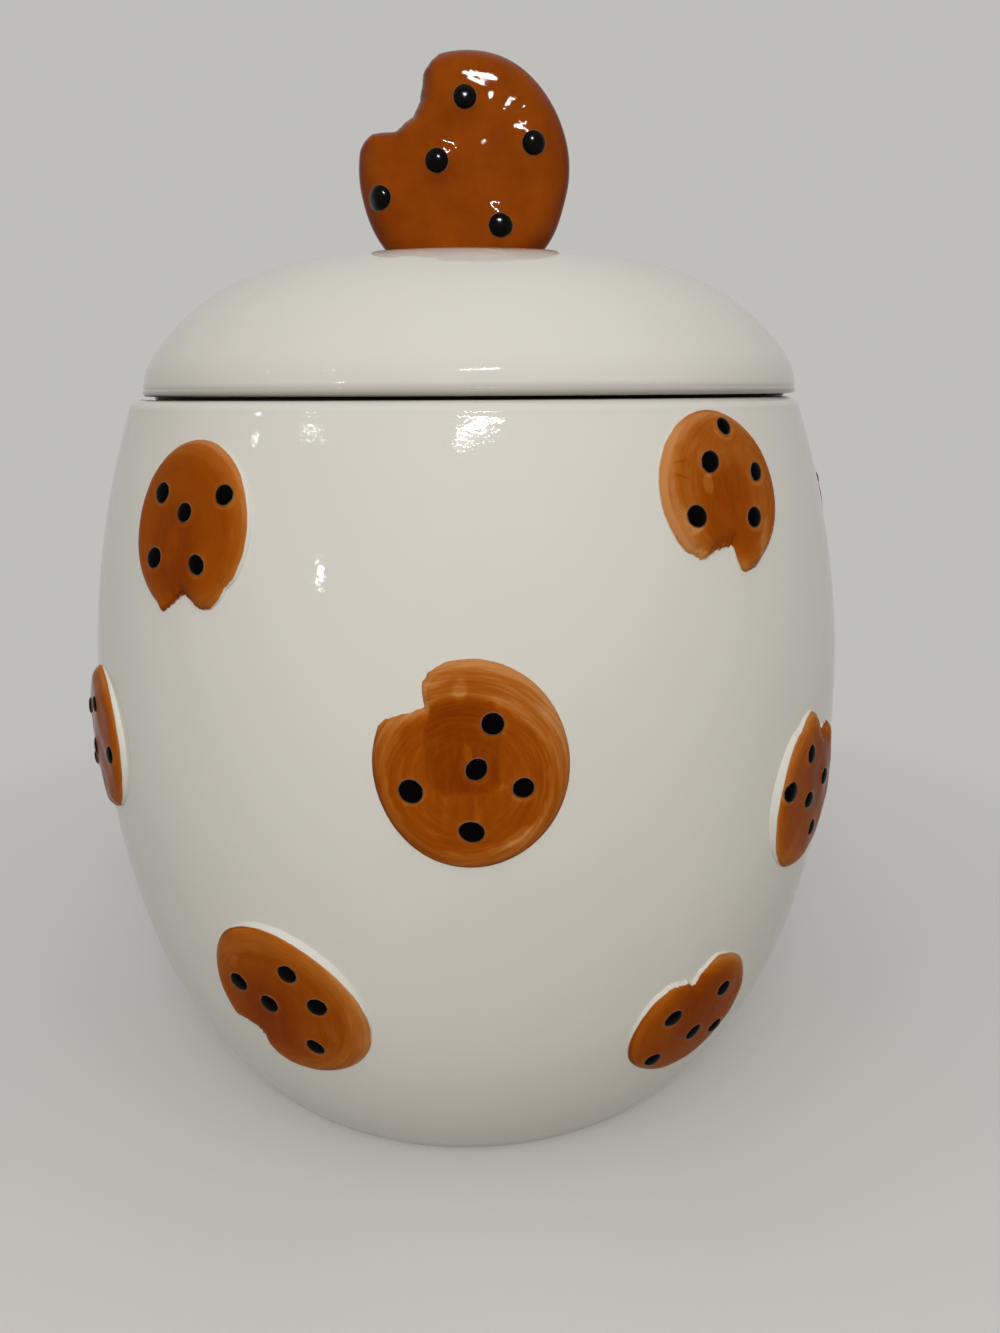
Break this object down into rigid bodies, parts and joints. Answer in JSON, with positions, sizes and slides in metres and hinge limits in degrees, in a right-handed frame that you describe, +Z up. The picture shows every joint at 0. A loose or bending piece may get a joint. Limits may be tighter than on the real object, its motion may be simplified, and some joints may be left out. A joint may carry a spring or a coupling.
{
  "type": "biscuit jar",
  "caption": "Barrel-shaped glazed jar for biscuits, with a domed lift-off lid, a bitten biscuit as its knob and bitten biscuits in relief round the wall.",
  "frame": {"origin": "centre of the foot, on the plane on which the jar stands", "axes": "+Z up the jar's axis, -Y towards the front, where the knob's face and the largest relief biscuit are, +X to the right seen from the front"},
  "size_m": [0.22, 0.226, 0.288],
  "materials": {
    "white_glaze": "glossy",
    "biscuit_glaze": "glossy",
    "chip_glaze": "glossy"
  },
  "bodies": {
    "jar": {"jar_body": "white_glaze", "biscuit_upper_1": "biscuit_glaze", "biscuit_upper_2": "biscuit_glaze", "biscuit_upper_3": "biscuit_glaze", "biscuit_upper_4": "biscuit_glaze", "biscuit_upper_5": "biscuit_glaze", "biscuit_upper_6": "biscuit_glaze", "biscuit_middle_1": "biscuit_glaze", "biscuit_middle_2": "biscuit_glaze", "biscuit_middle_3": "biscuit_glaze", "biscuit_middle_4": "biscuit_glaze", "biscuit_middle_5": "biscuit_glaze", "biscuit_middle_6": "biscuit_glaze", "biscuit_lower_1": "biscuit_glaze", "biscuit_lower_2": "biscuit_glaze", "biscuit_lower_3": "biscuit_glaze", "biscuit_lower_4": "biscuit_glaze", "biscuit_lower_5": "biscuit_glaze", "biscuit_lower_6": "biscuit_glaze", "chips_upper_1": "chip_glaze", "chips_upper_2": "chip_glaze", "chips_upper_3": "chip_glaze", "chips_upper_4": "chip_glaze", "chips_upper_5": "chip_glaze", "chips_upper_6": "chip_glaze", "chips_middle_1": "chip_glaze", "chips_middle_2": "chip_glaze", "chips_middle_3": "chip_glaze", "chips_middle_4": "chip_glaze", "chips_middle_5": "chip_glaze", "chips_middle_6": "chip_glaze", "chips_lower_1": "chip_glaze", "chips_lower_2": "chip_glaze", "chips_lower_3": "chip_glaze", "chips_lower_4": "chip_glaze", "chips_lower_5": "chip_glaze", "chips_lower_6": "chip_glaze"},
    "lid": {"lid": "white_glaze", "knob_biscuit": "biscuit_glaze", "knob_chips_front": "chip_glaze", "knob_chips_back": "chip_glaze"}
  },
  "joints": [
    {"name": "lid_lift", "type": "slide", "parent": "jar", "child": "lid", "axis": [0, 0, 1], "range_m": [0, 0.18]}
  ]
}
